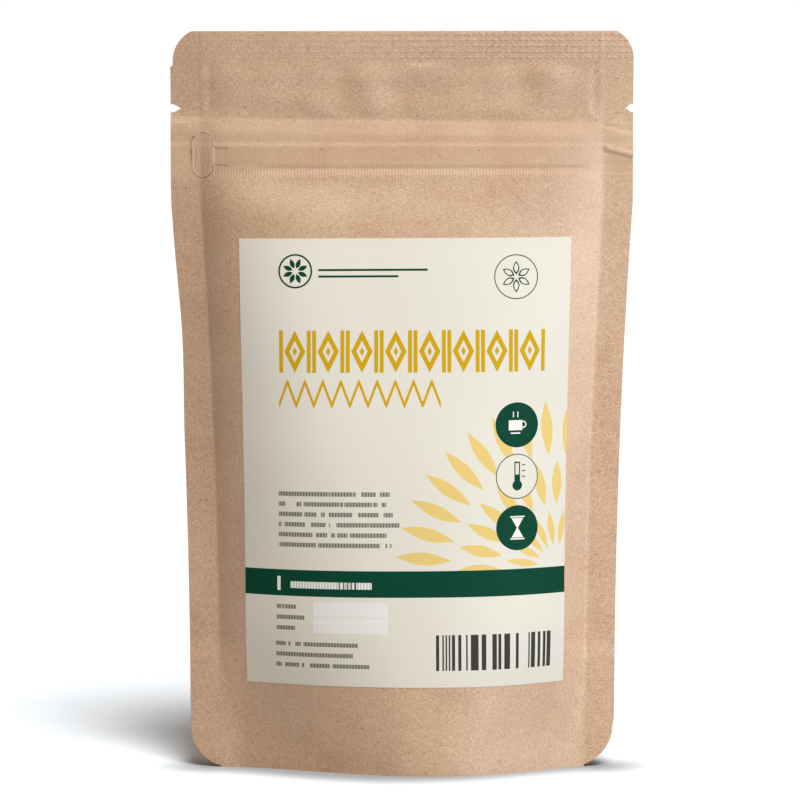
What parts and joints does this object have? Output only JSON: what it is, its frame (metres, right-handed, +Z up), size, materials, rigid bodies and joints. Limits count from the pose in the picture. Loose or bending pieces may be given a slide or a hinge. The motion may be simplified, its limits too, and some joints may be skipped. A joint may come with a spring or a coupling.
{
  "type": "stand-up pouch",
  "caption": "Sealed, filled stand-up pouch of kraft laminate with a folded bottom gusset, a press-to-close zip behind a die-cut grip tab, and a paper label.",
  "frame": {"origin": "middle of the pouch's box, on the surface that it stands on", "axes": "+Z up, the front with the label faces -Y, +X to the right of the front as it is read"},
  "size_m": [0.13, 0.0422, 0.208],
  "materials": {
    "kraft": "matte",
    "label_paper": "satin",
    "zip_plastic": "satin",
    "dried_root": "matte"
  },
  "bodies": {
    "root": {"front_panel": "kraft", "back_panel": "kraft", "bottom_gusset": "kraft", "zip_rib_strip": "zip_plastic", "zip_groove_strip": "zip_plastic", "label": "label_paper", "ginger_fill": "dried_root"}
  },
  "joints": []
}
